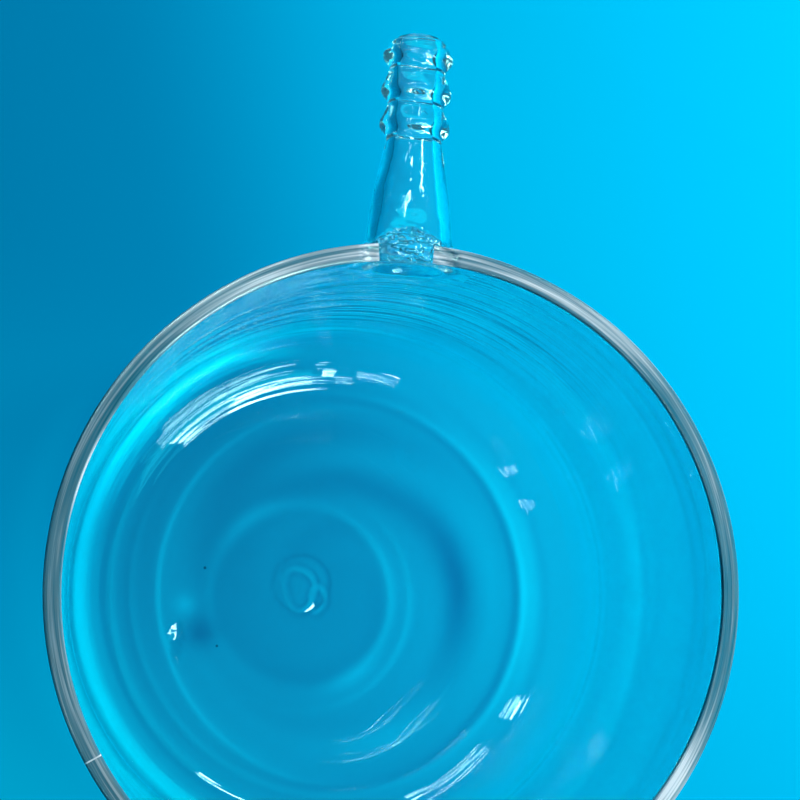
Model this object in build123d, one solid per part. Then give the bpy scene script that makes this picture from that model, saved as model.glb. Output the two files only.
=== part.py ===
from build123d import *
import math
import os

# An open laboratory vessel of clear borosilicate tubing: a round flat-bottomed pot with a cut and
# polished rim, and one barbed hose nozzle fused to its wall just under the rim. It is blown and
# flame-worked as one piece of glass, so it is one solid.
# Millimetres. The vessel's axis is +Z, the origin is on that axis at the plane the foot stands on,
# and the nozzle points along +Y.

NODE = "glass_vessel"

# Vessel
OUTER_DIAMETER = 100.0
WALL = 2.6
HEIGHT = 95.0
RIM_EDGE_RADIUS = 0.4

# Bottom
FLOOR_THICKNESS = 3.0
INNER_CORNER_RADIUS = 11.3
OUTER_CORNER_RADIUS = 13.9
FOOT_WIDTH = 6.0
PUNT_RISE = 1.0

# Blow mark: a low lens of glass that the glassblower's post left on the floor, a little off centre
BLOW_MARK_X = -5.3
BLOW_MARK_Y = 1.2
BLOW_MARK_RADIUS = 5.2
BLOW_MARK_HEIGHT = 0.3

# Nozzle. Its profile is given as (distance from the vessel's outer wall, radius).
NOZZLE_BELOW_RIM = 8.6
NOZZLE_LENGTH = 32.4
NOZZLE_ROOT_DEPTH = 1.3
WELD_RADIUS = 1.4
CONE = [(0.0, 6.5), (5.1, 6.1), (8.5, 5.6), (12.6, 4.85)]
BARB_COUNT = 3
BARB_PITCH = 5.25
FIRST_CREST = 18.6
CREST_RADIUS = 5.2
CREST_LAND = 0.8
VALLEY_RADIUS = 4.2
SHOULDER_LENGTH = 1.2
VALLEY_LENGTH = 0.8
BARB_ROUND = 0.5
CONE_BLEND = 3.0
TIP_RADIUS = 3.4
TIP_LIP_RADIUS = 0.45

# Bore of the nozzle, as (distance from the vessel's outer wall, radius)
BORE = [(0.0, 4.8), (7.5, 4.3), (14.0, 2.95), (17.5, 2.75), (30.0, 2.75)]
BORE_TIP_RADIUS = 2.3
MOUTH_RADIUS = 0.8
BORE_BLEND = 4.0
CUT_MARGIN = 2.0

# How near an edge lies to the wall and to the nozzle's or the bore's own radius, to be rounded there
ON_WALL_WITHIN = 0.05
ROUND_NOZZLE_WITHIN = 0.6

# Sizes that follow
outer_radius = OUTER_DIAMETER / 2
inner_radius = outer_radius - WALL
corner_centre = inner_radius - INNER_CORNER_RADIUS
foot_outer = outer_radius - OUTER_CORNER_RADIUS
foot_inner = foot_outer - FOOT_WIDTH
nozzle_height = HEIGHT - NOZZLE_BELOW_RIM


def vessel_body():
    """The pot, turned about +Z: its underside with a shallow punt, its wall, rim and inside."""
    rim_flat_inner = inner_radius + RIM_EDGE_RADIUS
    rim_flat_outer = outer_radius - RIM_EDGE_RADIUS
    rim_shoulder = HEIGHT - RIM_EDGE_RADIUS
    floor_edge = FLOOR_THICKNESS
    floor_centre = FLOOR_THICKNESS + PUNT_RISE

    def quarter(start, end, centre):
        """A round of a quarter circle, through the point halfway round it."""
        radius = math.dist(start, centre)
        middle_x = (start[0] + end[0]) / 2 - centre[0]
        middle_z = (start[1] + end[1]) / 2 - centre[1]
        stretch = radius / math.hypot(middle_x, middle_z)
        middle = (centre[0] + middle_x * stretch, centre[1] + middle_z * stretch)
        return ThreePointArc(start, middle, end)

    def dome(centre_height, edge_radius, edge_height):
        """Half the outline of a shallow dome, level at the axis, from the axis out to its edge."""
        return TangentArc((0, centre_height), (edge_radius, edge_height), tangent=(1, 0))

    outline = [
        dome(PUNT_RISE, foot_inner, 0),
        Line((foot_inner, 0), (foot_outer, 0)),
        quarter((foot_outer, 0), (outer_radius, OUTER_CORNER_RADIUS), (foot_outer, OUTER_CORNER_RADIUS)),
        Line((outer_radius, OUTER_CORNER_RADIUS), (outer_radius, rim_shoulder)),
        quarter((outer_radius, rim_shoulder), (rim_flat_outer, HEIGHT), (rim_flat_outer, rim_shoulder)),
        Line((rim_flat_outer, HEIGHT), (rim_flat_inner, HEIGHT)),
        quarter((rim_flat_inner, HEIGHT), (inner_radius, rim_shoulder), (rim_flat_inner, rim_shoulder)),
        Line((inner_radius, rim_shoulder), (inner_radius, floor_edge + INNER_CORNER_RADIUS)),
        quarter(
            (inner_radius, floor_edge + INNER_CORNER_RADIUS),
            (corner_centre, floor_edge),
            (corner_centre, floor_edge + INNER_CORNER_RADIUS),
        ),
        dome(floor_centre, corner_centre, floor_edge),
        Line((0, floor_centre), (0, PUNT_RISE)),
    ]
    section = Plane.XZ * make_face(outline)
    return revolve(section, Axis.Z)


def blow_mark():
    """A low spherical lens on the floor; the ball it is part of reaches down into the glass."""
    ball_radius = (BLOW_MARK_RADIUS**2 + BLOW_MARK_HEIGHT**2) / (2 * BLOW_MARK_HEIGHT)
    off_axis = math.hypot(BLOW_MARK_X, BLOW_MARK_Y)
    floor_height = FLOOR_THICKNESS + PUNT_RISE * (1 - (off_axis / corner_centre) ** 2)
    top = floor_height + BLOW_MARK_HEIGHT
    ball = Pos(BLOW_MARK_X, BLOW_MARK_Y, top - ball_radius) * Sphere(ball_radius)
    slab_thickness = FLOOR_THICKNESS / 2 + BLOW_MARK_HEIGHT
    slab_size = 4 * BLOW_MARK_RADIUS
    slab = Pos(BLOW_MARK_X, BLOW_MARK_Y, top - slab_thickness / 2) * Box(slab_size, slab_size, slab_thickness)
    return ball & slab


def turned_about_nozzle(outline):
    """Turn an outline, given as (distance from the outer wall, radius), about the nozzle's axis."""
    nozzle_plane = Plane(origin=(0, outer_radius, nozzle_height), x_dir=(0, 1, 0), z_dir=(1, 0, 0))
    section = nozzle_plane * make_face(outline)
    nozzle_axis = Axis((0, outer_radius, nozzle_height), (0, 1, 0))
    return revolve(section, nozzle_axis)


def nozzle_outside():
    """The nozzle's outer form: a cone off the wall, then rounded barbs that ramp towards the tip."""
    points = [(-NOZZLE_ROOT_DEPTH, CONE[0][1])] + CONE
    for i in range(BARB_COUNT):
        crest = FIRST_CREST + i * BARB_PITCH
        land_start = crest - CREST_LAND / 2
        valley_end = land_start - SHOULDER_LENGTH
        points.append((valley_end - VALLEY_LENGTH, VALLEY_RADIUS))
        points.append((valley_end, VALLEY_RADIUS))
        points.append((land_start, CREST_RADIUS))
        points.append((land_start + CREST_LAND, CREST_RADIUS))
    blends = [BARB_ROUND] + [CONE_BLEND] * (len(CONE) - 1) + [BARB_ROUND] * (4 * BARB_COUNT)
    lip_start = NOZZLE_LENGTH - TIP_LIP_RADIUS
    points.append((lip_start, TIP_RADIUS))
    lip_middle = TIP_LIP_RADIUS * math.sqrt(0.5)
    lip = ThreePointArc(
        (lip_start, TIP_RADIUS),
        (lip_start + lip_middle, TIP_RADIUS - TIP_LIP_RADIUS + lip_middle),
        (NOZZLE_LENGTH, TIP_RADIUS - TIP_LIP_RADIUS),
    )
    outline = [
        FilletPolyline(*points, radius=blends),
        lip,
        Polyline(
            (NOZZLE_LENGTH, TIP_RADIUS - TIP_LIP_RADIUS),
            (NOZZLE_LENGTH, 0),
            (-NOZZLE_ROOT_DEPTH, 0),
            (-NOZZLE_ROOT_DEPTH, CONE[0][1]),
        ),
    ]
    return turned_about_nozzle(outline)


def nozzle_bore():
    """The passage: wide at the vessel, straight through the barbs and drawn in a little at the tip."""
    start = -WALL - CUT_MARGIN
    wall_points = [(start, BORE[0][1])] + BORE + [(NOZZLE_LENGTH, BORE_TIP_RADIUS)]
    blends = [BORE_BLEND] * (len(wall_points) - 2)
    outline = [
        FilletPolyline(*wall_points, radius=blends),
        Polyline(
            (NOZZLE_LENGTH, BORE_TIP_RADIUS),
            (NOZZLE_LENGTH + CUT_MARGIN, BORE_TIP_RADIUS),
            (NOZZLE_LENGTH + CUT_MARGIN, 0),
            (start, 0),
            (start, BORE[0][1]),
        ),
    ]
    return turned_about_nozzle(outline)


def edges_round_nozzle(solid, surface_radius, hole_radius):
    """The edges where the nozzle or its bore meets the wall cylinder of the given radius."""
    found = []
    for edge in solid.edges():
        point = edge @ 0.5
        from_axis = math.hypot(point.X, point.Z - nozzle_height)
        on_wall = abs(math.hypot(point.X, point.Y) - surface_radius) < ON_WALL_WITHIN
        near = abs(from_axis - hole_radius) < ROUND_NOZZLE_WITHIN
        if on_wall and near and point.Y > 0:
            found.append(edge)
    return found


def glass_vessel():
    """The whole piece of glass."""
    body = vessel_body() + blow_mark() + nozzle_outside()
    weld_edges = edges_round_nozzle(body, outer_radius, CONE[0][1])
    body = fillet(weld_edges, WELD_RADIUS)
    body = body - nozzle_bore()
    mouth_edges = edges_round_nozzle(body, inner_radius, BORE[0][1])
    return fillet(mouth_edges, MOUTH_RADIUS)


os.makedirs("parts", exist_ok=True)
vessel = glass_vessel()
vessel.label = NODE
export_step(vessel, os.path.join("parts", NODE + ".step"))
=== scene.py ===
import math

import bpy
import numpy as np
from mathutils import Matrix, Vector


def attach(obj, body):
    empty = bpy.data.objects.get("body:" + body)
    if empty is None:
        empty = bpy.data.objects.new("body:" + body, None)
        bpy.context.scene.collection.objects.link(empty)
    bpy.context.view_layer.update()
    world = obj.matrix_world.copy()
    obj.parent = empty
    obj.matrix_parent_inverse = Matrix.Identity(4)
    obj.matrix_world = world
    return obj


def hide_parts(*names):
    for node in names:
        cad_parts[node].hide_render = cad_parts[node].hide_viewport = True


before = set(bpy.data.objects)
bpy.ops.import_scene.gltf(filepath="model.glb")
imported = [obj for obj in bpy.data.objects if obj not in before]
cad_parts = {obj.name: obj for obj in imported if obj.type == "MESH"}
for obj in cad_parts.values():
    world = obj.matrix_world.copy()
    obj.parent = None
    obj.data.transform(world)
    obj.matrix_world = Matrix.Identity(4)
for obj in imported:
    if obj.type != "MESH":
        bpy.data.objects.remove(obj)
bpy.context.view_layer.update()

# ---------------------------------------------------------------------------------------------
# Sizes in millimetres, in the frame of the part: +Z up the pot's axis, +Y along the nozzle
# ---------------------------------------------------------------------------------------------
MM = 0.001

OUTER_RADIUS = 50.0
WALL = 2.6
HEIGHT = 95.0
INNER_RADIUS = OUTER_RADIUS - WALL
RIM_EDGE = 0.4
FLOOR_THICKNESS = 3.0
INNER_CORNER = 11.3
OUTER_CORNER = 13.9
FOOT_WIDTH = 6.0
PUNT_RISE = 1.0

NOZZLE_HEIGHT = 86.4
NOZZLE_LENGTH = 32.4
NOZZLE_CONE = [(0.0, 6.5), (5.1, 6.1), (8.5, 5.6), (12.6, 4.85)]
BARB_COUNT = 3
BARB_PITCH = 5.25
FIRST_CREST = 18.6
CREST_RADIUS = 5.2
CREST_LAND = 0.8
VALLEY_RADIUS = 4.2
SHOULDER = 1.2
VALLEY = 0.8
TIP_RADIUS = 3.4
TIP_BORE_RADIUS = 2.3
NOZZLE_BORE = [(0.0, 4.8), (7.5, 4.3), (14.0, 2.95), (17.5, 2.75), (30.0, 2.75)]

# How milky the rim is, and the painted sheen that makes it paler or darker round each bearing: amount,
# bearing and spread
RIM_HAZE = 0.4
RIM_PAINTED_SHEEN = [
    (0.1, 180, 50), (0.2, 118, 26), (0.3, 54, 24), (-0.14, 0, 30), (0.3, 91, 11), (0.5, 328, 10)
]
# Painted highlights that whiten the rim's inner and outer edges: amount, bearing and spread
PAINTED_INNER_EDGE_HIGHLIGHT = (0.6, 163, 8)
PAINTED_OUTER_EDGE_HIGHLIGHT = (0.5, 122, 22)

# Marks of the glassblower's work, as places on the floor or lengths on the wall
BLOW_MARK = (-5.3, 1.2)
BLOW_MARK_RADIUS = 5.2
BLOW_MARK_RISE = 0.3
# Its cells: centre from the mark's own, half width, height over width, ridge width, ridge height, seed
BLOW_MARK_CELLS = [
    (-0.4, -0.8, 2.7, 1.4, 0.45, 0.05, 3),
    (3.1, -2.6, 1.4, 1.5, 0.42, 0.045, 4),
]
BLOW_RING = (-5.2, -1.2)
BLOW_RING_RADIUS = 17.3
BLOW_RING_HEIGHT = 0.12
BLOW_RING_WIDTH = 1.8
BLISTER = (-27.4, -10.6)
BLISTER_HALF = (2.0, 4.9)
BLISTER_DEPTH = 0.75
RIDGE_PITCH = 3.4
RIDGE_HEIGHT = 0.05
FINE_RIDGE_PITCH = 1.25
FINE_RIDGE_HEIGHT = 0.026
FINEST_RIDGE_HEIGHT = 0.007
RIDGES_REACH = 14.0
DRAWN_OUTSIDE = 0.02
DRAWN_INSIDE = 0.024
MELTED_CENTRE = 0.8
MELTED_HALF = 7.3
MELTED_SINK = 0.45
MELTED_LUMPS = 0.16
WELD_RADIUS = 7.95
WELD_DROP = 0.45
BARB_LEAN = 0.28

# The mesh: columns round the pot, cells of the window that the nozzle's root is let into
COLUMNS = 216
WINDOW_COLUMNS = 36
WINDOW_SPAN = 22.5
WINDOW_ROWS = 20
WINDOW_DEPTH = 17.2
MELTED_LEFT = 10
MELTED_RIGHT = 5
# Cells of each stretch of the section, and the radii where the cells of the bottom change size
UNDERSIDE_RADII = [(0.0, 10.0, 18), (10.0, 24.0, 23)]
UNDERSIDE_LAST_CELLS = 7
FLOOR_RADII = [(0.0, 10.0, 27), (10.0, 23.0, 18)]
FLOOR_LAST_CELLS = 16
FOOT_CELLS = 12
OUTER_CORNER_CELLS = (24, 10)
OUTER_WALL_CELLS = 10
RIM_CELLS = 6
RIM_EDGE_CELLS = 4
INNER_WALL_CELLS = 14
INNER_CORNER_CELLS = 144

# Where the side lamp stands, in millimetres, and the bright and dark rings its light makes on the
# ground under the glass: centre, radius, half width, gain, middle bearing and half spread in degrees.
# A ring of no radius is a spot, and its spread is ALL_ROUND.
ALL_ROUND = 999
SIDE_LAMP = (360.0, 160.0, 300.0)
AXIS = (0.0, 0.0)
CORNER_LINE = (2.6, -0.3)
LIGHT_RINGS = [
    (AXIS, 48.6, 1.5, 2.2, 165, 100),
    (AXIS, 46.4, 1.4, 1.3, 180, 90),
    (AXIS, 43.6, 0.8, 0.3, 165, 60),
    (AXIS, 42.2, 0.7, -0.2, 190, 60),
    (AXIS, 40.6, 0.7, 0.45, 180, 80),
    (AXIS, 37.6, 0.6, -0.15, 190, 60),
    (AXIS, 36.4, 0.6, 0.16, 215, 60),
    (AXIS, 35.3, 0.8, -0.34, 0, 75),
    (AXIS, 36.9, 0.6, 0.45, 0, 70),
    (AXIS, 38.5, 2.4, 0.2, 0, 75),
    (AXIS, 46.5, 6.0, -0.16, 0, 90),
    (AXIS, 31.2, 2.6, 0.18, 0, 55),
    (AXIS, 24.2, 2.4, -0.3, 6, 34),
    (AXIS, 21.2, 2.6, -0.12, 100, 60),
    (AXIS, 27.5, 2.2, 0.14, 240, 60),
    (CORNER_LINE, 34.2, 0.5, 0.6, 183, 62),
    (CORNER_LINE, 33.0, 1.6, 0.14, 200, 60),
    (BLOW_RING, 16.9, 0.6, 0.5, 5, 60),
    (BLOW_RING, 20.4, 0.6, 0.45, 345, 50),
    (BLOW_RING, 18.6, 2.4, 0.16, 345, 70),
    (BLOW_RING, 17.3, 1.7, 0.4, 308, 18),
    (BLOW_RING, 17.0, 0.8, 0.16, 170, 60),
    (BLOW_RING, 17.0, 1.6, 0.36, 124, 24),
    (AXIS, 28.0, 2.2, 0.22, 296, 18),
    ((-23.4, -8.6), 0.0, 3.2, -0.5, 0, ALL_ROUND),
    ((-26.2, -3.6), 0.0, 2.0, 0.6, 0, ALL_ROUND),
]


# ---------------------------------------------------------------------------------------------
# Curves
# ---------------------------------------------------------------------------------------------
def straight(start, end, cells):
    """Points start + (end - start) * t, with t even from 0 to 1."""
    t = np.linspace(0.0, 1.0, cells + 1)[:, None]
    return np.array(start) + (np.array(end) - np.array(start)) * t


def arc(centre, radius, start, end, cells):
    """Points centre + radius * (cos a, sin a), with the angle a even from start to end, in degrees."""
    a = np.radians(np.linspace(start, end, cells + 1))
    return np.stack([centre[0] + radius * np.cos(a), centre[1] + radius * np.sin(a)], axis=1)


def dome(rise, base, edge, inwards, bands, last_cells):
    """Points (r, base + rise * (1 - (r / edge)^2)), from the axis to the edge or back.

    The radii are even within each band (from, to, cells), and from the last band to the edge.
    """
    parts = [np.linspace(low, high, cells + 1)[:-1] for low, high, cells in bands]
    r = np.concatenate(parts + [np.linspace(bands[-1][1], edge, last_cells + 1)])
    r = r[::-1] if inwards else r
    return np.stack([r, base + rise * (1.0 - (r / edge) ** 2)], axis=1)


def smooth_step(x, low, high):
    """0 below low, 1 above high, and 3 t^2 - 2 t^3 between."""
    t = np.clip((x - low) / (high - low), 0.0, 1.0)
    return t * t * (3.0 - 2.0 * t)


def bell(x, width):
    """exp(-(x / width)^2)."""
    return np.exp(-((x / width) ** 2))


def waves(angle, run, seed, turns, pitches):
    """Sum of cos(k * angle + 2 pi * run / p + phase) over every k in turns and p in pitches.

    The phases come from the seed, and the sum is divided by the root of the number of terms.
    """
    rng = np.random.default_rng(seed)
    total = 0.0
    for k in turns:
        for p in pitches:
            phase = rng.uniform(0.0, 2.0 * math.pi)
            total = total + np.cos(k * angle + 2.0 * math.pi * run / p + phase)
    return total / math.sqrt(len(turns) * len(pitches))


def rounded(points, step, blend):
    """A polyline sampled evenly along its first axis, then averaged with a Gaussian of width blend."""
    xs = [p[0] for p in points]
    ys = [p[1] for p in points]
    x = np.arange(xs[0] - 4 * blend, xs[-1] + 4 * blend, step)
    y = np.interp(x, xs, ys)
    reach = np.arange(-3 * blend, 3 * blend + step / 2, step)
    weight = np.exp(-((reach / blend) ** 2))
    y = np.convolve(y, weight / weight.sum(), mode="same")
    keep = (x >= xs[0] - step / 2) & (x <= xs[-1] + step / 2)
    return x[keep], y[keep]


# ---------------------------------------------------------------------------------------------
# The pot's section, from the axis under the bottom, up the outside, over the rim and down inside
# ---------------------------------------------------------------------------------------------
def pot_section():
    """The closed section as points (r, z), and the first and last row of each named stretch."""
    shoulder = HEIGHT - RIM_EDGE
    window_low = shoulder - WINDOW_DEPTH
    foot_outer = OUTER_RADIUS - OUTER_CORNER
    foot_inner = foot_outer - FOOT_WIDTH
    floor_edge = INNER_RADIUS - INNER_CORNER
    inner_corner_top = FLOOR_THICKNESS + INNER_CORNER
    corner_centre = (foot_outer, OUTER_CORNER)
    low_cells, high_cells = OUTER_CORNER_CELLS
    out, into = OUTER_RADIUS, INNER_RADIUS
    stretches = {
        "underside": dome(PUNT_RISE, 0.0, foot_inner, False, UNDERSIDE_RADII, UNDERSIDE_LAST_CELLS),
        "foot": straight((foot_inner, 0.0), (foot_outer, 0.0), FOOT_CELLS),
        "outer_corner": np.concatenate([
            arc(corner_centre, OUTER_CORNER, -90, -45, low_cells),
            arc(corner_centre, OUTER_CORNER, -45, 0, high_cells)[1:],
        ]),
        "outer_wall": straight((out, OUTER_CORNER), (out, window_low), OUTER_WALL_CELLS),
        "outer_window": straight((out, window_low), (out, shoulder), WINDOW_ROWS),
        "rim_outer_edge": arc((out - RIM_EDGE, shoulder), RIM_EDGE, 0, 90, RIM_EDGE_CELLS),
        "rim": straight((out - RIM_EDGE, HEIGHT), (into + RIM_EDGE, HEIGHT), RIM_CELLS),
        "rim_inner_edge": arc((into + RIM_EDGE, shoulder), RIM_EDGE, 90, 180, RIM_EDGE_CELLS),
        "inner_window": straight((into, shoulder), (into, window_low), WINDOW_ROWS),
        "inner_wall": straight((into, window_low), (into, inner_corner_top), INNER_WALL_CELLS),
        "inner_corner": arc((floor_edge, inner_corner_top), INNER_CORNER, 0, -90, INNER_CORNER_CELLS),
        "floor": dome(PUNT_RISE, FLOOR_THICKNESS, floor_edge, True, FLOOR_RADII, FLOOR_LAST_CELLS),
    }
    rows = {}
    points = [stretches["underside"][:1]]
    count = 0
    for name, stretch in stretches.items():
        rows[name] = (count, count + len(stretch) - 1)
        points.append(stretch[1:])
        count += len(stretch) - 1
    return np.concatenate(points), rows


def column_angles():
    """Angle of each column from +X, in radians: close together over the nozzle, even elsewhere."""
    half = WINDOW_COLUMNS // 2
    place = np.arange(COLUMNS) - COLUMNS // 4
    near, far = WINDOW_SPAN / WINDOW_COLUMNS, (360.0 - WINDOW_SPAN) / (COLUMNS - WINDOW_COLUMNS)
    inside = np.clip(place, -half, half)
    return np.radians(90.0 + inside * near + (place - inside) * far)


def beside(angle, bearing, spread):
    """bell of the angle's distance from a bearing, both bearing and spread in degrees."""
    apart = np.degrees(np.arctan2(np.sin(angle - np.radians(bearing)), np.cos(angle - np.radians(bearing))))
    return bell(apart, spread)


def floor_relief(x, y):
    """How far the blown floor stands above its even dome, at the place (x, y).

    A low lens at the blow mark, two soft-edged cells on it, a broad ring of thicker glass round it,
    and the long dimple of a burst blister near the corner: -depth * (1 - u^2 - v^2)^1.5.
    """
    mx, my = x - BLOW_MARK[0], y - BLOW_MARK[1]
    lens = BLOW_MARK_RISE * np.clip(1.0 - (mx**2 + my**2) / BLOW_MARK_RADIUS**2, 0.0, None)

    def cell(cx, cy, radius, squash, width, height, seed):
        """A ridge of the given height and width along an uneven closed line round (cx, cy)."""
        dx, dy = (mx - cx), (my - cy) / squash
        around = np.arctan2(dy, dx)
        edge = radius * (1.0 + 0.12 * waves(around, 0.0, seed, (1, 2, 3), (1.0,)))
        return height * bell(np.hypot(dx, dy) - edge, width)

    cells = sum(cell(*shape) for shape in BLOW_MARK_CELLS)
    rx, ry = x - BLOW_RING[0], y - BLOW_RING[1]
    around = np.arctan2(ry, rx)
    ring_edge = BLOW_RING_RADIUS * (1.0 + 0.015 * waves(around, 0.0, 6, (1, 2, 3), (1.0,)))
    ring = BLOW_RING_HEIGHT * bell(np.hypot(rx, ry) - ring_edge, BLOW_RING_WIDTH)
    u, v = (x - BLISTER[0]) / BLISTER_HALF[0], (y - BLISTER[1]) / BLISTER_HALF[1]
    blister = -BLISTER_DEPTH * np.clip(1.0 - (u - 0.25 * v) ** 2 - v**2, 0.0, None) ** 1.5
    return lens + cells + ring + blister


def relief_bend(x, y):
    """tanh of the relief less its mean at eight places a short way off: 1 on a crest, -1 in a hollow."""
    reach, full_bend = 0.55, 0.02
    turns = np.linspace(0.0, 2.0 * math.pi, 8, endpoint=False)
    around = sum(floor_relief(x + reach * math.cos(t), y + reach * math.sin(t)) for t in turns) / 8
    return np.tanh((floor_relief(x, y) - around) / full_bend)


def corner_ridges(angle, up):
    """Ridges of the hand-rolled corner, up being the distance from the floor's edge along the section.

    height * cos(2 pi (up / pitch + drift(angle))) for broad ridges and again for fine ones, each with
    a slow swell, so they wind a little up and down as they go round, plus a faint unevenness.
    """
    drift = 0.75 * np.sin(angle + 2.0) + 0.25 * np.sin(2 * angle + 1.1) + 0.05 * np.sin(5 * angle + 0.3)
    fade = smooth_step(up, -1.2, 0.8) * smooth_step(RIDGES_REACH - up, 0.0, 4.0)
    swell = 0.6 + 0.4 * np.sin(2 * angle + 0.4 + 0.4 * up)
    ridges = RIDGE_HEIGHT * swell * np.cos(2.0 * math.pi * (up / RIDGE_PITCH + drift))
    fine_drift = 1.3 * np.sin(angle + 0.7) + 0.4 * np.sin(2 * angle + 2.2)
    fine_swell = 0.55 + 0.45 * np.sin(3 * angle + 1.0 + 0.8 * up)
    fine = FINE_RIDGE_HEIGHT * fine_swell * np.cos(2.0 * math.pi * (up / FINE_RIDGE_PITCH + fine_drift))
    finest = waves(angle + drift, up, 31, (0, 1, 2, 5, 9), (0.8, 1.1, 1.6))
    fine = fine + FINEST_RIDGE_HEIGHT * finest
    return ridges * fade + fine * fade * smooth_step(up, 0.0, 1.0)


def gathered_light(points):
    """How much more light than plain glass each point of the underside lets down, 0 being no more.

    Each point is first followed from the side lamp to the ground: g = p - (lamp - p) z / (lamp_z - z).
    There the gain is the sum of the rings, gain * bell(radius) * bell(bearing), a slow unevenness and
    the lines of the blow mark, wandering a little in radius as they go round.
    """
    lowest, highest = -0.6, 2.2
    wander, slow, mark_lines, mark_reach = 0.5, 0.07, 0.7, 12.0
    x, y, z = points.T
    lamp_x, lamp_y, lamp_z = SIDE_LAMP
    gx = x - (lamp_x - x) * z / (lamp_z - z)
    gy = y - (lamp_y - y) * z / (lamp_z - z)
    angle = np.arctan2(gy, gx)
    plain_radius = np.hypot(gx, gy)
    radius = plain_radius + wander * np.sin(2 * angle + 0.7) * smooth_step(plain_radius, 5.0, 30.0)
    unevenness = waves(angle, radius, 41, (1, 2, 3), (9.0, 14.0, 23.0))
    total = slow * unevenness * smooth_step(radius, 2.0, 14.0)
    for centre, ring_radius, half_width, gain, bearing, spread in LIGHT_RINGS:
        off_x, off_y = gx - centre[0], gy - centre[1]
        off = np.hypot(off_x, off_y) + radius - plain_radius
        turn = np.arctan2(off_y, off_x)
        total = total + gain * bell(off - ring_radius, half_width) * beside(turn, bearing, spread)
    total = total + mark_lines * np.clip(relief_bend(gx, gy), -0.3, 1.0) * bell(radius, mark_reach)
    from_outside = np.hypot(x, y) < OUTER_RADIUS + 1.0
    on_underside = from_outside * (z < 15.0) * smooth_step(15.0 - z, 0.0, 4.0)
    return np.clip(total, lowest, highest) * on_underside


def painted_light_tone(points):
    """Painted light and shade along the lines of the blown floor: 0.5 of painted light on the crest of a
    line, -0.5 of painted shade in a hollow.
    """
    return 0.5 * relief_bend(points[:, 0], points[:, 1])


def wall_painted_light(points):
    """Painted light and shade on the wall: 0.5 at the floor and the foot, more as painted light at one
    bearing and less as painted shade at another.
    """
    x, y, z = points.T
    angle = np.arctan2(y, x)
    on_wall_only = smooth_step(z, 6.0, 24.0)
    return 0.5 + on_wall_only * (0.35 * beside(angle, 122, 34) - 0.2 * beside(angle, 25, 55))


def pot_grid(section, rows):
    """Rows by columns by 3: the section turned about +Z, with the unevenness of blown glass.

    A point is (r cos a, r sin a, z), moved along the section's own normal by a sum of low waves
    that run round the pot and fade out at the rim, the foot and the nozzle. The floor then takes its
    relief, and the rim over the nozzle sinks and turns lumpy.
    """
    angle = column_angles()[None, :]
    r, z = section[:, 0][:, None], section[:, 1][:, None]
    slope = np.gradient(section, axis=0)
    slope /= np.linalg.norm(slope, axis=1)[:, None]
    normal_r, normal_z = slope[:, 1][:, None], -slope[:, 0][:, None]
    steps = np.linalg.norm(np.diff(section, axis=0), axis=1)
    run = np.concatenate([[0.0], np.cumsum(steps)])[:, None]

    x, y = r * np.cos(angle), r * np.sin(angle)
    from_nozzle = np.where(y > 0, np.hypot(x, z - NOZZLE_HEIGHT), 99.0)
    calm = smooth_step(from_nozzle, 11.0, 20.0) * smooth_step(HEIGHT - z, 0.3, 8.0)
    off_foot = smooth_step(z, 0.0, 4.0)
    off_axis = smooth_step(r, 0.0, 8.0)
    inside = (run > run[len(run) // 2]) * 1.0
    drawn = waves(angle, run, 11, (0, 1, 2, 3), (7.5, 11.0, 16.0, 31.0))
    drawn_inside = waves(angle, run, 12, (0, 1, 2, 3), (6.5, 9.5, 15.0, 27.0))
    floor_edge_run = run[rows["floor"][0]]
    move_out = DRAWN_OUTSIDE * (drawn - drawn.max()) * off_foot
    move_in = DRAWN_INSIDE * drawn_inside + corner_ridges(angle, floor_edge_run - run)
    move = (move_out * (1.0 - inside) + move_in * inside) * calm * off_axis
    grid = np.empty(x.shape + (3,))
    grid[..., 0] = (r + normal_r * move) * np.cos(angle)
    grid[..., 1] = (r + normal_r * move) * np.sin(angle)
    grid[..., 2] = z + normal_z * move
    on_floor = inside * smooth_step(INNER_RADIUS - r, 0.0, INNER_CORNER)
    grid[..., 2] += on_floor * floor_relief(x, y)
    over_nozzle = smooth_step(MELTED_HALF - np.abs(x + MELTED_CENTRE), 0.0, 1.4) * (y > 0)
    over_nozzle = over_nozzle * smooth_step(z, HEIGHT - RIM_EDGE - 0.01, HEIGHT)
    lumps = waves(x / 1.9, r, 51, (1, 2, 3, 4), (1.5, 2.3, 3.1))
    grid[..., 2] -= over_nozzle * (MELTED_SINK + MELTED_LUMPS * lumps)
    return grid


# ---------------------------------------------------------------------------------------------
# The nozzle, as rings of points round its axis
# ---------------------------------------------------------------------------------------------
def on_wall(radius, angle, wall_radius):
    """The point of the wall's cylinder at a polar place round the nozzle's axis.

    x = radius cos a, z = radius sin a above the nozzle's height, y = root(wall_radius^2 - x^2).
    """
    x = radius * np.cos(angle)
    z = NOZZLE_HEIGHT + radius * np.sin(angle)
    return np.stack([x, np.sqrt(wall_radius**2 - x**2), z], axis=-1)


def nozzle_ring(out, radius, angle):
    """A circle round the nozzle's axis: (radius cos a, wall + out, height + radius sin a)."""
    x = radius * np.cos(angle)
    z = NOZZLE_HEIGHT + radius * np.sin(angle)
    y = OUTER_RADIUS + out + 0.0 * x
    return np.stack([x, y, z], axis=-1)


def blend_rings(start, bend, end, cells):
    """Rings (1-t)^2 start + 2 t (1-t) bend + t^2 end, leaving out the first ring."""
    t = np.linspace(0.0, 1.0, cells + 1)[1:, None, None]
    return (1 - t) ** 2 * start + 2 * t * (1 - t) * bend + t**2 * end


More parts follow.
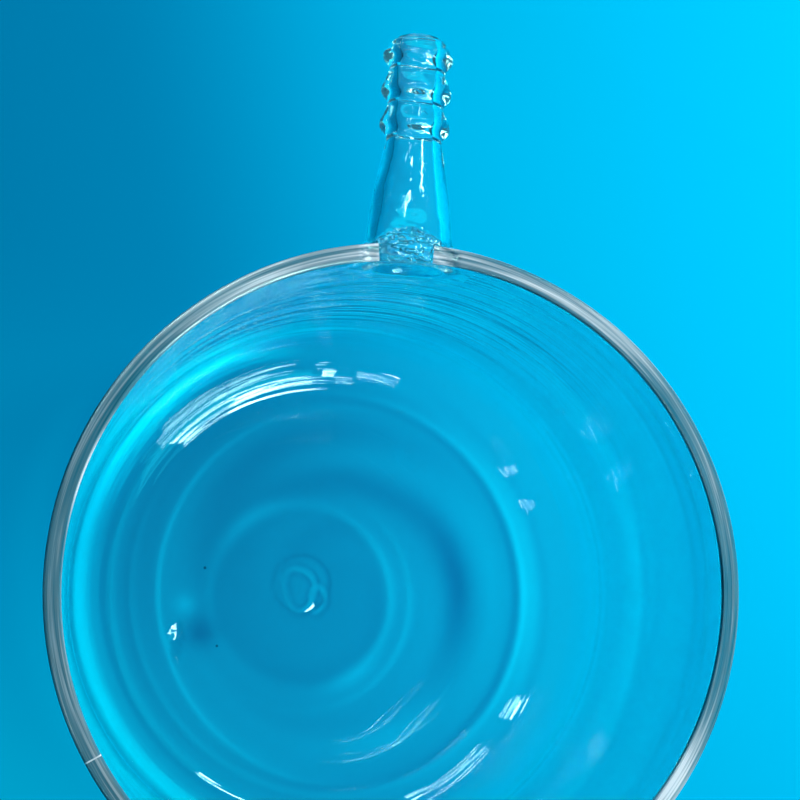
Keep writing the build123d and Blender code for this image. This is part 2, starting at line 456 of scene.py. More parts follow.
def nozzle_profile():
    """The nozzle's outside: cone, then barbs with a short shoulder and a long ramp to the tip."""
    points = list(NOZZLE_CONE)
    for i in range(BARB_COUNT):
        land = FIRST_CREST + i * BARB_PITCH - CREST_LAND / 2
        points.append((land - SHOULDER - VALLEY, VALLEY_RADIUS))
        points.append((land - SHOULDER, VALLEY_RADIUS))
        points.append((land, CREST_RADIUS + 0.1))
        points.append((land + CREST_LAND, CREST_RADIUS + 0.1))
    points.append((NOZZLE_LENGTH, TIP_RADIUS - 0.05))
    return rounded(points, 0.38, 0.32)


def nozzle_rings(outer_edge, inner_edge):
    """Every ring of the nozzle, from the outer window's edge, out, over the lip and back inside."""
    angle = np.unwrap(np.arctan2(outer_edge[:, 2] - NOZZLE_HEIGHT, outer_edge[:, 0]))
    edge_radius = np.hypot(outer_edge[:, 0], outer_edge[:, 2] - NOZZLE_HEIGHT)
    rings = []

    below = 1.0 - np.sin(angle)
    weld_radius = WELD_RADIUS + WELD_DROP * below + 0.08 * waves(angle, 0.0, 21, (2, 3, 5), (1.0,))
    weld_radius = np.minimum(weld_radius, 8.0 + 2.0 * below)
    for t in np.linspace(0.0, 1.0, 8)[1:]:
        rings.append(on_wall(edge_radius + (weld_radius - edge_radius) * t, angle, OUTER_RADIUS)[None])
    s, r = nozzle_profile()
    weld_length = 2.2
    keep = (s > weld_length) & (s < NOZZLE_LENGTH - 0.56)
    s, r = s[keep], r[keep]
    weld_end = nozzle_ring(s[0], r[0], angle)
    weld_bend = on_wall(NOZZLE_CONE[0][1] + 0.0 * angle, angle, OUTER_RADIUS)
    rings.append(blend_rings(rings[-1][0], weld_bend, weld_end, 10))

    on_barbs = smooth_step(s, FIRST_CREST - 3.0, FIRST_CREST) * smooth_step(NOZZLE_LENGTH - s, 0.0, 3.0)
    lean = BARB_LEAN * on_barbs[:, None] * np.cos(angle)[None, :]
    uneven = 0.012 * waves(angle[None, :], s[:, None], 22, (1, 2, 3), (4.0, 7.0, 12.0))
    uneven = uneven * smooth_step(s, weld_length, 5.0)[:, None]
    body = nozzle_ring(s[:, None] - lean, r[:, None] * (1.0 - np.abs(uneven)), angle[None, :])
    rings.append(body[1:])

    lip_radius = (TIP_RADIUS - TIP_BORE_RADIUS) / 2
    turn = np.radians(np.linspace(90, -90, 11))[:, None]
    lip_out = NOZZLE_LENGTH - lip_radius + lip_radius * np.cos(turn)
    rings.append(nozzle_ring(lip_out, TIP_BORE_RADIUS + lip_radius * (1.0 + np.sin(turn)), angle[None, :]))

    bore = NOZZLE_BORE + [(NOZZLE_LENGTH - lip_radius, TIP_BORE_RADIUS)]
    s, r = rounded([(-WALL, NOZZLE_BORE[0][1])] + bore, 0.8, 0.9)
    keep = (s > -WALL + 1.2) & (s < NOZZLE_LENGTH - lip_radius - 0.3)
    s, r = s[keep][::-1], r[keep][::-1]
    uneven = 0.02 * waves(angle[None, :], s[:, None], 23, (1, 2, 3), (5.0, 8.0, 14.0))
    uneven = uneven * (smooth_step(s, -1.0, 2.0) * smooth_step(NOZZLE_LENGTH - s, 1.0, 4.0))[:, None]
    rings.append(nozzle_ring(s[:, None], r[:, None] * (1.0 + uneven), angle[None, :]))

    mouth_radius = NOZZLE_BORE[0][1] + 0.9 + 0.0 * angle
    mouth_bend = on_wall(NOZZLE_BORE[0][1] + 0.0 * angle, angle, INNER_RADIUS)
    mouth_end = on_wall(mouth_radius, angle, INNER_RADIUS)
    rings.append(blend_rings(rings[-1][-1], mouth_bend, mouth_end, 6))

    inner_angle = np.unwrap(np.arctan2(inner_edge[:, 2] - NOZZLE_HEIGHT, inner_edge[:, 0]))
    inner_radius = np.hypot(inner_edge[:, 0], inner_edge[:, 2] - NOZZLE_HEIGHT)
    for t in np.linspace(0.0, 1.0, 9)[1:-1]:
        ring_radius = mouth_radius + (inner_radius - mouth_radius) * t
        ring_angle = angle + (inner_angle - angle) * t
        rings.append(on_wall(ring_radius, ring_angle, INNER_RADIUS)[None])
    return np.concatenate(rings)


# ---------------------------------------------------------------------------------------------
# Putting the glass together
# ---------------------------------------------------------------------------------------------
def window_loop(first_row, last_row, low_row):
    """Row and column of each point on a window's edge, turning from +X towards +Z."""
    high_row = first_row + last_row - low_row
    up = 1 if high_row > low_row else -1
    middle = COLUMNS // 4
    right, left = middle - WINDOW_COLUMNS // 2, middle + WINDOW_COLUMNS // 2
    across = np.arange(left, right, -1)
    climb = np.arange(low_row, high_row, up)
    rows = np.concatenate([
        np.full(len(across), low_row),
        climb,
        np.full(len(across), high_row),
        climb[::-1] + up,
    ])
    columns = np.concatenate([
        across,
        np.full(len(climb), right),
        across[::-1] - 1,
        np.full(len(climb), left),
    ])
    return rows, columns


def band_quads(first, second):
    """Quads between two closed loops of point numbers."""
    after_first, after_second = np.roll(first, -1, axis=-1), np.roll(second, -1, axis=-1)
    return np.stack([first, second, after_second, after_first], axis=-1).reshape(-1, 4)


def hand_rolled(points):
    """How strongly each point shows the fine marks of rolling: most in the corner."""
    x, y, z = points.T
    radius = np.hypot(x, y)
    corner = smooth_step(radius, 32.0, 37.0) * smooth_step(18.0 - z, 0.0, 6.0)
    everywhere, in_corner = 0.05, 0.1
    return in_corner * corner + everywhere


def wall_rolled(points):
    """How strongly each point shows the broad marks of rolling: 1 on one side of the wall, 0 elsewhere."""
    x, y, z = points.T
    wall = smooth_step(np.hypot(x, y), 45.0, 47.0) * smooth_step(z, 22.0, 40.0)
    return wall * beside(np.arctan2(y, x), 112, 46)


def rim_haze_and_painted_sheen(points):
    """How milky the ground rim is at each point, plus a painted sheen by its bearing and painted highlights
    that whiten its edges in two stretches.
    """
    x, y, _ = points.T
    angle, radius = np.arctan2(y, x), np.hypot(x, y)
    haze_and_sheen = RIM_HAZE + sum(more * beside(angle, bearing, spread) for more, bearing, spread in RIM_PAINTED_SHEEN)
    inner_edge = smooth_step(INNER_RADIUS + RIM_EDGE - radius, 0.0, 0.2)
    outer_edge = smooth_step(radius, OUTER_RADIUS - 0.6, OUTER_RADIUS - 0.3)
    for edge, (more, bearing, spread) in ((inner_edge, PAINTED_INNER_EDGE_HIGHLIGHT), (outer_edge, PAINTED_OUTER_EDGE_HIGHLIGHT)):
        haze_and_sheen = haze_and_sheen + more * edge * beside(angle, bearing, spread)
    return haze_and_sheen


def weld_lumps(points):
    """1 on the melted glass between the nozzle and the rim, falling to 0 a few millimetres off."""
    x, y, z = points.T
    from_rim = np.abs(y - OUTER_RADIUS + WALL / 2)
    off = np.hypot(x + MELTED_CENTRE, 0.8 * (z - HEIGHT)) + 2.0 * from_rim
    return 1.0 - smooth_step(off, 7.0, 11.0)


def paint(mesh, name, values):
    """A number for each point of the mesh, kept under a name that the finishes read."""
    layer = mesh.attributes.new(name, "FLOAT", "POINT")
    layer.data.foreach_set("value", np.asarray(values, dtype=np.float32))


# The skin's finishes in order: the pot's clear glass, then these two
RIM_SLOT = 1
NOZZLE_SLOT = 2


def glass_vessel():
    """The whole vessel as one closed skin: the turned pot, with the nozzle let into two windows."""
    section, rows = pot_section()
    grid = pot_grid(section, rows)
    count = len(section)
    ring_rows = grid[1:-1]
    number = np.zeros((count, COLUMNS), dtype=np.int64)
    number[1:-1] = 1 + np.arange((count - 2) * COLUMNS).reshape(count - 2, COLUMNS)
    top_pole = 1 + (count - 2) * COLUMNS

    cells_below = number[1:-2]
    cells_above = number[2:-1]
    quads = np.stack([
        cells_below,
        np.roll(cells_below, -1, axis=1),
        np.roll(cells_above, -1, axis=1),
        cells_above,
    ], axis=-1)
    cell_row = np.arange(1, count - 2)[:, None] + np.zeros((1, COLUMNS), dtype=int)
    cell_column = np.arange(COLUMNS)[None, :] + 0 * cell_row
    near = np.abs(cell_column + 0.5 - COLUMNS // 4) < WINDOW_COLUMNS // 2
    solid = np.ones(near.shape, dtype=bool)
    for name in ("outer_window", "inner_window"):
        solid &= ~(near & (cell_row >= rows[name][0]) & (cell_row < rows[name][1]))
    on_rim = (cell_row >= rows["rim_outer_edge"][0]) & (cell_row < rows["rim_inner_edge"][1])
    from_middle = cell_column - COLUMNS // 4
    over_nozzle = (from_middle < MELTED_LEFT) & (from_middle >= -MELTED_RIGHT)
    pot_quads, pot_rim, pot_melted = quads[solid], on_rim[solid], (on_rim & over_nozzle)[solid]

    outer_rows, outer_columns = window_loop(*rows["outer_window"], rows["outer_window"][0])
    inner_rows, inner_columns = window_loop(*rows["inner_window"], rows["inner_window"][1])
    sleeve = nozzle_rings(grid[outer_rows, outer_columns], grid[inner_rows, inner_columns])
    around = len(outer_rows)
    sleeve_number = top_pole + 1 + np.arange(len(sleeve) * around).reshape(len(sleeve), around)
    loops = np.concatenate([
        number[outer_rows, outer_columns][None],
        sleeve_number,
        number[inner_rows, inner_columns][None],
    ])
    sleeve_quads = band_quads(loops[:-1], loops[1:])

    first_ring, last_ring = number[1], number[-2]
    bottom_fan = np.stack([np.zeros(COLUMNS, int), np.roll(first_ring, -1), first_ring], axis=-1)
    top_fan = np.stack([np.full(COLUMNS, top_pole), last_ring, np.roll(last_ring, -1)], axis=-1)

    points = np.concatenate([
        grid[0, :1], ring_rows.reshape(-1, 3), grid[-1, :1], sleeve.reshape(-1, 3)
    ]) * MM
    faces = pot_quads.tolist() + sleeve_quads.tolist() + bottom_fan.tolist() + top_fan.tolist()
    mesh = bpy.data.meshes.new("glass_vessel_skin")
    mesh.from_pydata(points.tolist(), [], faces)
    mesh.polygons.foreach_set("use_smooth", np.ones(len(faces), dtype=bool))
    slots = np.zeros(len(faces), dtype=np.int32)
    slots[: len(pot_rim)] = np.where(pot_melted, NOZZLE_SLOT, pot_rim * RIM_SLOT)
    slots[len(pot_quads) : len(pot_quads) + len(sleeve_quads)] = NOZZLE_SLOT
    for finish in (clear_glass, polished_rim, nozzle_glass):
        mesh.materials.append(finish())
    on_inside = np.zeros(len(points), dtype=bool)
    first_inside = 1 + (rows["rim"][1] - 1) * COLUMNS
    on_inside[first_inside : top_pole + 1] = True
    places = points / MM
    # Painted light and shade for the glass's tone: along the lines of the blown floor, and by bearing on the
    # wall
    lines = np.where(on_inside, painted_light_tone(places), 0.0)
    paint(mesh, "painted_light_tone", wall_painted_light(places) + lines)
    paint(mesh, "gathered_light", np.where(on_inside, 0.0, gathered_light(places)))
    paint(mesh, "hand_rolled", hand_rolled(places))
    paint(mesh, "wall_rolled", wall_rolled(places))
    # The rim's milkiness, with its painted sheen and painted edge highlights
    paint(mesh, "rim_haze_and_painted_sheen", rim_haze_and_painted_sheen(places))
    paint(mesh, "weld_lumps", weld_lumps(places))
    mesh.polygons.foreach_set("material_index", slots)
    mesh.update()
    piece = bpy.data.objects.new("blown_glass_vessel", mesh)
    bpy.context.scene.collection.objects.link(piece)
    return piece


# ---------------------------------------------------------------------------------------------
# Finishes
# ---------------------------------------------------------------------------------------------
REFRACTIVE_INDEX = 1.474
TRAPPED_TURNS = 2.5
GLASS_TINT = (0.9, 0.95, 0.955)
CLEAREST_TINT = (0.97, 0.99, 1.0)
PASSING_TINT = (0.93, 0.96, 0.97)
GATHERED_TINT = (0.9, 0.96, 0.66)
# Tints of the clear glass where its tone carries painted shade (hollows of the floor's lines, one side of
# the wall) and painted light (their crests, the other side)
PAINTED_SHADE_TINT = (0.6, 0.72, 0.78)
PAINTED_LIGHT_TINT = (1.0, 1.0, 1.0)
RIM_TINT = (0.35, 0.45, 0.5)
# The rim's colours as its tone rises: dark teal, the blue floor painted in as seen through the glass, then
# satin grey, then white for the seam and for painted highlights
RIM_COLOURS_WITH_PAINTED_SHEEN = [
    (0.0, (0.0, 0.06, 0.09)),
    (0.2, (0.02, 0.17, 0.24)),
    (0.5, (0.13, 0.26, 0.31)),
    (0.8, (0.5, 0.57, 0.6)),
    (1.0, (0.95, 0.97, 0.98)),
]
# The floor's blues, from its painted shade at 0 to its painted light at 1
FLOOR_PAINTED_LIGHT_BLUES = [
    (0.0, (0.0, 0.225, 0.46)),
    (0.45, (0.0, 0.4, 0.7)),
    (1.0, (0.0, 0.62, 0.9)),
]
SPECK_COLOUR = (0.05, 0.12, 0.16)
SEAM_BEARING = 211.6
SEAM_WIDTH = 0.22
SPECK_HEIGHT = 3.6
SPECKS = [(-23.2, 3.2, 0.27), (-20.2, -10.8, 0.27)]


def new_group(name, inputs, outputs):
    """A node group with named float inputs (name, value) and outputs (name, socket type)."""
    group = bpy.data.node_groups.new(name, "ShaderNodeTree")
    for label, value in inputs:
        socket = group.interface.new_socket(label, in_out="INPUT", socket_type="NodeSocketFloat")
        socket.default_value = value
    for label, kind in outputs:
        group.interface.new_socket(label, in_out="OUTPUT", socket_type=kind)
    return group, group.nodes.new("NodeGroupInput"), group.nodes.new("NodeGroupOutput")


def add(tree, kind, **values):
    """A node of the given kind; values are its properties, or sockets where it has no such property."""
    node = tree.nodes.new(kind)
    for name, value in values.items():
        if hasattr(node, name):
            setattr(node, name, value)
        else:
            node.inputs[name.replace("_", " ")].default_value = value
    return node


def maths(tree, operation, first, second=None):
    """A maths node on two values, each a socket or a number."""
    node = tree.nodes.new("ShaderNodeMath")
    node.operation = operation
    for i, value in enumerate((first, second)):
        if isinstance(value, (int, float)):
            node.inputs[i].default_value = value
        elif value is not None:
            tree.links.new(value, node.inputs[i])
    return node.outputs[0]


def turned_noise(tree, fine, sweep, detail):
    """Noise in long streaks round the pot: fine across the streaks, and slow along them.

    The place (x / r * sweep, y / r * sweep, z * fine) and r * fine are the four inputs of the noise,
    so the pattern closes on itself all the way round.
    """
    place = object_place(tree)
    apart = add(tree, "ShaderNodeSeparateXYZ")
    tree.links.new(place, apart.inputs[0])
    x, y, z = apart.outputs
    across = maths(tree, "ADD", maths(tree, "MULTIPLY", x, x), maths(tree, "MULTIPLY", y, y))
    radius = maths(tree, "ADD", maths(tree, "SQRT", across), 1e-5)
    joined = add(tree, "ShaderNodeCombineXYZ")
    for value, slot in ((x, "X"), (y, "Y")):
        round_it = maths(tree, "MULTIPLY", maths(tree, "DIVIDE", value, radius), sweep)
        tree.links.new(round_it, joined.inputs[slot])
    tree.links.new(maths(tree, "MULTIPLY", z, fine), joined.inputs["Z"])
    noise = add(tree, "ShaderNodeTexNoise", noise_dimensions="4D", Scale=1.0, Detail=detail)
    tree.links.new(joined.outputs[0], noise.inputs["Vector"])
    tree.links.new(maths(tree, "MULTIPLY", radius, fine), noise.inputs["W"])
    return noise.outputs["Fac"]


def lathe_streaks():
    """Streaks left by turning the hot glass: a tone for its colour and a bump for its surface."""
    if "lathe_streaks" in bpy.data.node_groups:
        return bpy.data.node_groups["lathe_streaks"]
    inputs = [
        ("Fineness", 900.0), ("Sweep", 1.6), ("Depth", 0.00002), ("Contrast", 0.5), ("Amount", 1.0)
    ]
    outputs = [("Normal", "NodeSocketVector"), ("Tone", "NodeSocketFloat")]
    group, given, out = new_group("lathe_streaks", inputs, outputs)
    streak = turned_noise(group, given.outputs["Fineness"], given.outputs["Sweep"], 3.0)
    swing = maths(group, "MULTIPLY", maths(group, "SUBTRACT", streak, 0.5), given.outputs["Amount"])
    bump = add(group, "ShaderNodeBump", Strength=1.0)
    group.links.new(given.outputs["Depth"], bump.inputs["Distance"])
    group.links.new(swing, bump.inputs["Height"])
    spread = maths(group, "MULTIPLY", swing, given.outputs["Contrast"])
    group.links.new(bump.outputs["Normal"], out.inputs["Normal"])
    group.links.new(maths(group, "ADD", spread, 0.5), out.inputs["Tone"])
    return group


def use_group(tree, group, **values):
    """The group as a node in this tree, with its inputs set."""
    node = tree.nodes.new("ShaderNodeGroup")
    node.node_tree = group
    for name, value in values.items():
        node.inputs[name].default_value = value
    return node


def toward(bearing):
    """The level direction at a bearing in degrees from +X."""
    return (math.cos(math.radians(bearing)), math.sin(math.radians(bearing)), 0.0)


def measured(tree, operation, place, other):
    """A number from two vectors, such as their distance: place is a socket, other three numbers."""
    node = add(tree, "ShaderNodeVectorMath", operation=operation)
    tree.links.new(place, node.inputs[0])
    node.inputs[1].default_value = other
    return node.outputs["Value"]


def object_place(tree):
    """Each point's place in the part's own frame."""
    return add(tree, "ShaderNodeTexCoord").outputs["Object"]


def painted(tree, name):
    """The numbers that were painted on the mesh under this name."""
    return add(tree, "ShaderNodeAttribute", attribute_name=name).outputs["Fac"]


def new_material(name):
    """An empty node material and its tree."""
    material = bpy.data.materials.new(name)
    material.use_nodes = True
    material.node_tree.nodes.clear()
    return material, material.node_tree


def glass_shader(tree, colour, roughness, transmission):
    """A clear dielectric that lets shadow rays, the floor's own light and long-trapped rays through.

    What passes straight through is brighter where the glass gathers light: its colour is
    gathered tint * gathered_light + passing tint.
    """
    shader = tree.nodes.new("ShaderNodeBsdfPrincipled")
    shader.inputs["Base Color"].default_value = (*colour, 1.0)
    shader.inputs["Roughness"].default_value = roughness
    shader.inputs["IOR"].default_value = REFRACTIVE_INDEX
    shader.inputs["Transmission Weight"].default_value = transmission
    clear = tree.nodes.new("ShaderNodeBsdfTransparent")
    tint = add(tree, "ShaderNodeVectorMath", operation="MULTIPLY_ADD")
    tree.links.new(painted(tree, "gathered_light"), tint.inputs[0])
    tint.inputs[1].default_value = GATHERED_TINT
    tint.inputs[2].default_value = PASSING_TINT
    tree.links.new(tint.outputs[0], clear.inputs["Color"])
    path = tree.nodes.new("ShaderNodeLightPath")
    trapped = maths(tree, "GREATER_THAN", path.outputs["Glossy Depth"], TRAPPED_TURNS)
    unseen = maths(tree, "MAXIMUM", path.outputs["Is Shadow Ray"], path.outputs["Is Diffuse Ray"])
    mix = tree.nodes.new("ShaderNodeMixShader")
    output = tree.nodes.new("ShaderNodeOutputMaterial")
    tree.links.new(maths(tree, "MAXIMUM", unseen, trapped), mix.inputs["Fac"])
    tree.links.new(shader.outputs["BSDF"], mix.inputs[1])
    tree.links.new(clear.outputs["BSDF"], mix.inputs[2])
    tree.links.new(mix.outputs["Shader"], output.inputs["Surface"])
    return shader


def ramp(tree, factor, stops):
    """A colour ramp through (position, colour) stops."""
    node = tree.nodes.new("ShaderNodeValToRGB")
    while len(node.color_ramp.elements) < len(stops):
        node.color_ramp.elements.new(0.5)
    for element, (position, colour) in zip(node.color_ramp.elements, stops):
        element.position = position
        element.color = (*colour, 1.0)
    tree.links.new(factor, node.inputs["Fac"])
    return node.outputs["Color"]


def clear_glass():
    """Fire-polished borosilicate, with its marks of rolling, painted light and shade along the lines of the
    blown floor and on the wall, and specks.

    The normal is the level of two summed bumps: fine marks in the corner and broad ones on the wall.
    """
    material, tree = new_material("clear_borosilicate")
    shader = glass_shader(tree, GLASS_TINT, 0.0, 1.0)
    streaks = use_group(tree, lathe_streaks(), Fineness=1100.0, Sweep=1.4, Depth=0.00004, Contrast=0.5)
    tree.links.new(painted(tree, "hand_rolled"), streaks.inputs["Amount"])
    broad = use_group(tree, lathe_streaks(), Fineness=125.0, Sweep=1.0, Depth=0.0013, Contrast=0.0)
    tree.links.new(painted(tree, "wall_rolled"), broad.inputs["Amount"])
    both = add(tree, "ShaderNodeVectorMath", operation="ADD")
    tree.links.new(streaks.outputs["Normal"], both.inputs[0])
    tree.links.new(broad.outputs["Normal"], both.inputs[1])
    level = add(tree, "ShaderNodeVectorMath", operation="NORMALIZE")
    tree.links.new(both.outputs[0], level.inputs[0])
    tree.links.new(level.outputs[0], shader.inputs["Normal"])
    # The tone: random streaks, plus painted light on crests and on one side of the wall, and painted shade
    # in hollows and on its other side
    tone = maths(tree, "ADD", streaks.outputs["Tone"], painted(tree, "painted_light_tone"))
    colours = [(0.0, PAINTED_SHADE_TINT), (0.5, GLASS_TINT), (1.0, PAINTED_LIGHT_TINT)]
    colour = ramp(tree, maths(tree, "SUBTRACT", tone, 0.5), colours)
    dirty = add(tree, "ShaderNodeMix", data_type="RGBA")
    first, second = [socket for socket in dirty.inputs if socket.type == "RGBA"]
    tree.links.new(specks(tree), dirty.inputs["Factor"])
    tree.links.new(colour, first)
    second.default_value = (*SPECK_COLOUR, 1.0)
    mixed = next(socket for socket in dirty.outputs if socket.type == "RGBA")
    tree.links.new(mixed, shader.inputs["Base Color"])
    return material


def specks(tree):
    """1 within the radius of each speck of dirt that lies on the floor, 0 elsewhere."""
    place = object_place(tree)
    total = None
    for x, y, radius in SPECKS:
        away = measured(tree, "DISTANCE", place, (x * MM, y * MM, SPECK_HEIGHT * MM))
        near = maths(tree, "LESS_THAN", away, radius * MM)
        total = near if total is None else maths(tree, "MAXIMUM", total, near)
    return total


def fused_seam(tree):
    """1 on the hairline across the rim where the band of glass closes on itself, 0 elsewhere.

    The line is the set of points whose distance across the seam's bearing is under half its width.
    """
    place = object_place(tree)
    across = measured(tree, "DOT_PRODUCT", place, toward(SEAM_BEARING + 90.0))
    along = measured(tree, "DOT_PRODUCT", place, toward(SEAM_BEARING))
    near = maths(tree, "LESS_THAN", maths(tree, "ABSOLUTE", across), SEAM_WIDTH * MM / 2)
    return maths(tree, "MULTIPLY", near, maths(tree, "GREATER_THAN", along, 0.0))


def polished_rim():
    """The cut rim, ground and polished: satin grey with fine lines round it, and paler or darker in places
    with a painted sheen and painted edge highlights.
    """
    material, tree = new_material("polished_rim_glass")
    shader = glass_shader(tree, RIM_TINT, 0.12, 0.2)
    streaks = use_group(tree, lathe_streaks(), Fineness=2300.0, Sweep=2.0, Depth=0.00004, Contrast=1.9)
    tree.links.new(streaks.outputs["Normal"], shader.inputs["Normal"])
    tone = maths(tree, "ADD", streaks.outputs["Tone"], painted(tree, "rim_haze_and_painted_sheen"))
    tone = maths(tree, "MAXIMUM", maths(tree, "SUBTRACT", tone, 0.5), fused_seam(tree))
    tree.links.new(ramp(tree, tone, RIM_COLOURS_WITH_PAINTED_SHEEN), shader.inputs["Base Color"])
    return material


def nozzle_glass():
    """Flame-worked glass of the nozzle, smooth but for a slow unevenness, and lumpy at the weld."""
    material, tree = new_material("flame_worked_glass")
    shader = glass_shader(tree, CLEAREST_TINT, 0.0, 1.0)
    place = object_place(tree)
    noise = add(tree, "ShaderNodeTexNoise", Scale=220.0, Detail=1.0)
    lumps = add(tree, "ShaderNodeTexNoise", Scale=560.0, Detail=2.0)
    tree.links.new(place, noise.inputs["Vector"])
    tree.links.new(place, lumps.inputs["Vector"])
    height = maths(tree, "MULTIPLY", lumps.outputs["Fac"], painted(tree, "weld_lumps"))
    lump_share = 12.0
    height = maths(tree, "ADD", maths(tree, "MULTIPLY", height, lump_share), noise.outputs["Fac"])
    bump = add(tree, "ShaderNodeBump", Strength=1.0, Distance=0.0001)
    tree.links.new(height, bump.inputs["Height"])
    tree.links.new(bump.outputs["Normal"], shader.inputs["Normal"])
    return material


def soft_span(tree, value, low, high, top=1.0):
    """0 up to low, top from high on and top * (3 t^2 - 2 t^3) between, low and high in either order."""
    span = add(tree, "ShaderNodeMapRange", interpolation_type="SMOOTHSTEP")
    tree.links.new(value, span.inputs["Value"])
    span.inputs["From Min"].default_value = low
    span.inputs["From Max"].default_value = high
    span.inputs["To Max"].default_value = top
    return span.outputs["Result"]


def gathered_arcs(tree, place):
    """Thin arcs of light that the wall gathers on the sheet, in a crescent along one side of it.

    The crescent is a band of distances from ARCS_CENTRE, faded out by bearing. In it the light is
    evenly bright, plus noise that is fine across the arcs and slow along them.
    """
    distance = measured(tree, "DISTANCE", place, [v * MM for v in ARCS_CENTRE])
    side = measured(tree, "DOT_PRODUCT", place, toward(ARCS_BEARING))
    inner, outer = ARCS_BAND
    from_inside = soft_span(tree, distance, (inner - 3.0) * MM, (inner + 3.0) * MM)
    from_outside = soft_span(tree, distance, outer * MM, (outer - 2.0) * MM)
    band = maths(tree, "MULTIPLY", from_inside, from_outside)
    band = maths(tree, "MULTIPLY", band, soft_span(tree, side, 26.0 * MM, 50.0 * MM))
    slow = add(tree, "ShaderNodeVectorMath", operation="SCALE", Scale=14.0)
    tree.links.new(place, slow.inputs[0])
    noise = add(tree, "ShaderNodeTexNoise", noise_dimensions="4D", Scale=1.0, Detail=2.0)
    tree.links.new(slow.outputs[0], noise.inputs["Vector"])
    tree.links.new(maths(tree, "MULTIPLY", distance, 750.0), noise.inputs["W"])
    even, swing = 0.7, 2.4
    light = maths(tree, "MULTIPLY", maths(tree, "SUBTRACT", noise.outputs["Fac"], 0.5), swing)
    return maths(tree, "MULTIPLY", maths(tree, "ADD", light, even), band)


def painted_floor_light(tree):
    """How pale the sheet is at each place, as painted light and shade: least in the deep band, and more
    towards two of its sides.

    A smooth rise along one bearing, plus a smooth rise with nearness to a place beyond one corner,
    plus the arcs of gathered light.
    """
    deepest, along_rise, corner_rise = 0.07, 0.47, 1.58
    place = object_place(tree)
    along = measured(tree, "DOT_PRODUCT", place, toward(PAINTED_LIGHT_BEARING))
    away = measured(tree, "DISTANCE", place, [v * MM for v in PAINTED_LIGHT_CORNER])
    total = maths(tree, "ADD", soft_span(tree, along, -20.0 * MM, 45.4 * MM, along_rise), deepest)
    total = maths(tree, "ADD", soft_span(tree, away, PAINTED_LIGHT_REACH * MM, 0.0, corner_rise), total)
    return maths(tree, "ADD", gathered_arcs(tree, place), total)


def floor_with_painted_light():
    """Matt pale blue floor, darker on one side with painted shade and paler towards others with painted
    light.
    """
    material, tree = new_material("pale_blue_floor")
    shader = tree.nodes.new("ShaderNodeBsdfPrincipled")
    tree.links.new(ramp(tree, painted_floor_light(tree), FLOOR_PAINTED_LIGHT_BLUES), shader.inputs["Base Color"])
    shader.inputs["Roughness"].default_value = 0.9
    shader.inputs["Specular IOR Level"].default_value = 0.0
    output = tree.nodes.new("ShaderNodeOutputMaterial")
    tree.links.new(shader.outputs["BSDF"], output.inputs["Surface"])
    return material


# ---------------------------------------------------------------------------------------------
# Stage
# ---------------------------------------------------------------------------------------------
FLOOR_SIZE = 4.0
FLOOR_GAP = 0.00005
ARCS_CENTRE = (13.2, 1.0, 0.0)
ARCS_BAND = (54.0, 64.2)
ARCS_BEARING = 116.0
# Where the floor's painted light rises: along a bearing, and towards a place beyond one corner, within its
# reach
PAINTED_LIGHT_BEARING = 16.0
PAINTED_LIGHT_CORNER = (-107.7, -140.0, 0.0)
PAINTED_LIGHT_REACH = 218.0
CAMERA_PLACE = (-42.6, -3.1, 406.0)
CAMERA_AIM = (-1.2, 27.2, 95.0)
CAMERA_TWIST = -2.96
LENS = 99.0
COOL_WHITE = (0.48, 1.0, 0.9)
CARD_BLUE = (0.02, 0.9, 1.0)
SURROUNDINGS = (0.15, 0.75, 1.0)
SURROUNDINGS_GLOW = 0.2
SIDE_LAMP_SIZE = (0.1, 0.08)
SIDE_LAMP_GLOW = 127.0
CARD_SIZE = (0.55, 0.5)
CARD_GLOW = 2.0
LAMP_DISTANCE = 1.0


def floor():
    """A square sheet under the foot."""
    half = FLOOR_SIZE / 2
    mesh = bpy.data.meshes.new("floor_sheet")
    corners = [(-half, -half), (half, -half), (half, half), (-half, half)]
    mesh.from_pydata([(x, y, -FLOOR_GAP) for x, y in corners], [], [(0, 1, 2, 3)])
    mesh.materials.append(floor_with_painted_light())
    piece = bpy.data.objects.new("floor", mesh)
    bpy.context.scene.collection.objects.link(piece)


def facing(place, aim, twist=0.0):
    """A matrix at place that looks along -Z to aim, with +Y on the picture's up side."""
    place, aim = Vector(place), Vector(aim)
    forward = (aim - place).normalized()
    right = forward.cross(Vector((0, 1, 0))).normalized()
    up = right.cross(forward)
    turn = Matrix.Rotation(math.radians(twist), 3, forward)
    axes = Matrix((turn @ right, turn @ up, turn @ -forward)).transposed()
    return Matrix.Translation(place) @ axes.to_4x4()


def camera():
    """A long lens looking down into the pot from its left."""
    data = bpy.data.cameras.new("camera")
    data.lens = LENS
    data.sensor_width = 36.0
    piece = bpy.data.objects.new("camera", data)
    piece.matrix_world = facing(
        [v * MM for v in CAMERA_PLACE], [v * MM for v in CAMERA_AIM], CAMERA_TWIST
    )
    bpy.context.scene.collection.objects.link(piece)
    bpy.context.scene.camera = piece


def around(bearing, rise, away):
    """The place at a bearing from +X, an angle of rise and a distance in metres from the foot."""
    bearing, rise = math.radians(bearing), math.radians(rise)
    level = away * math.cos(rise)
    return Vector((level * math.cos(bearing), level * math.sin(bearing), away * math.sin(rise)))


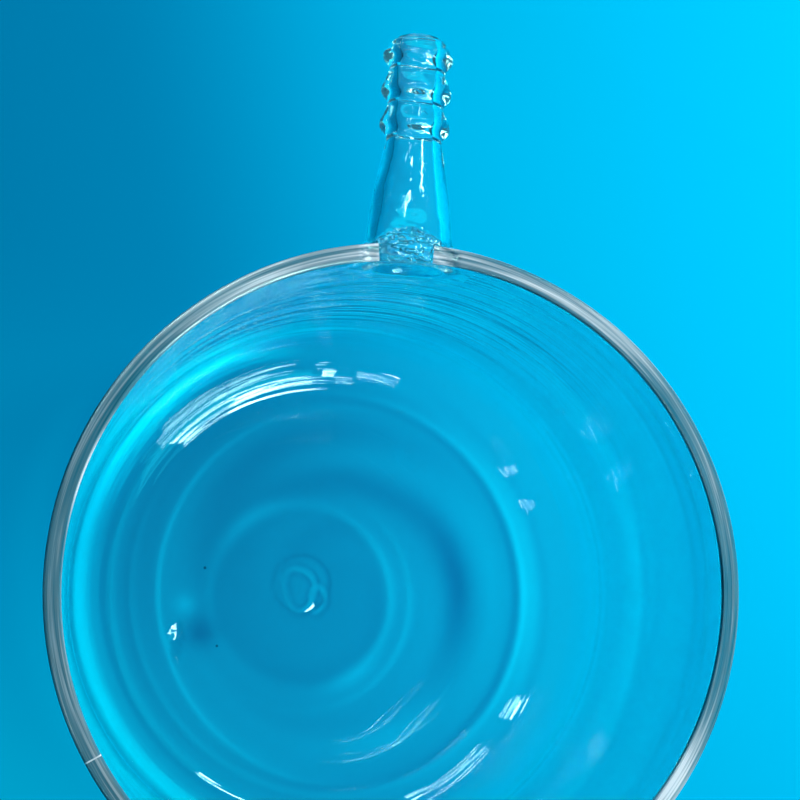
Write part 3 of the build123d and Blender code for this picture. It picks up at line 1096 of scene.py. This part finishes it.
def lamp(name, place, size, glow, mirrored, tint=(1.0, 1.0, 1.0)):
    """A soft rectangular lamp facing the foot of the pot.

    glow is what a white mirror would show of it; the power is glow * pi * width * height. A mirrored
    lamp is only seen in polished surfaces, and any other only lights matt ones.
    """
    data = bpy.data.lights.new(name, "AREA")
    data.shape = "RECTANGLE"
    data.size, data.size_y = size
    data.energy = glow * math.pi * size[0] * size[1]
    data.color = tint
    piece = bpy.data.objects.new(name, data)
    piece.matrix_world = Matrix.Translation(place) @ place.to_track_quat("Z", "Y").to_matrix().to_4x4()
    piece.visible_camera = False
    piece.visible_diffuse = not mirrored
    piece.visible_glossy = mirrored
    piece.visible_transmission = mirrored
    bpy.context.scene.collection.objects.link(piece)


# Lamps seen in the glass, all at the same distance: bearings, rise, width, height and glow
MIRRORED_LAMPS = {
    "front_high_strip": ((-42, -56), 68, 0.16, 0.09, 34.0),
    "front_upper_strip": ((-43, -60), 57, 0.2, 0.045, 45.0),
    "front_middle_strip": ((-41, -58), 46, 0.24, 0.05, 45.0),
    "front_low_strip": ((-44, -62), 31, 0.26, 0.06, 120.0),
    "front_rim_strip": ((-38, -50), 39, 0.16, 0.045, 80.0),
    "front_high_window": ((-76.5,), 64, 0.035, 0.05, 45.0),
    "front_middle_window": ((-76.5,), 52, 0.035, 0.06, 45.0),
    "front_low_window": ((-76.5,), 38, 0.035, 0.07, 45.0),
    "front_small": ((-89,), 54, 0.11, 0.028, 60.0),
    "back_middle_strip": ((116,), 60, 0.24, 0.06, 45.0),
    "back_high_window": ((142,), 66, 0.05, 0.07, 45.0),
    "back_low_window": ((147,), 56, 0.05, 0.05, 45.0),
    "back_right": ((56,), 50, 0.16, 0.06, 45.0),
    "left_high_windows": ((-134, -147), 69, 0.022, 0.036, 45.0),
    "left_low_windows": ((-137, -149), 58, 0.022, 0.036, 45.0),
}


def lights():
    """Dim blue surroundings, a side lamp that lights the ground, and the lamps seen in the glass."""
    world = bpy.data.worlds.new("studio")
    world.use_nodes = True
    background = world.node_tree.nodes["Background"]
    background.inputs["Color"].default_value = (*SURROUNDINGS, 1.0)
    background.inputs["Strength"].default_value = SURROUNDINGS_GLOW
    bpy.context.scene.world = world
    lamp("side_lamp", Vector(SIDE_LAMP) * MM, SIDE_LAMP_SIZE, SIDE_LAMP_GLOW, mirrored=False)
    for name, (bearings, rise, width, height, glow) in MIRRORED_LAMPS.items():
        for i, bearing in enumerate(bearings):
            place = around(bearing, rise, LAMP_DISTANCE)
            lamp(f"{name}_{i + 1}", place, (width, height), glow, mirrored=True, tint=COOL_WHITE)
    card_place = around(-47, 52, LAMP_DISTANCE)
    lamp("blue_card", card_place, CARD_SIZE, CARD_GLOW, mirrored=True, tint=CARD_BLUE)


vessel = glass_vessel()
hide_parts("glass_vessel")
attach(vessel, "root")
floor()
camera()
lights()
bpy.context.scene.view_settings.view_transform = "Standard"
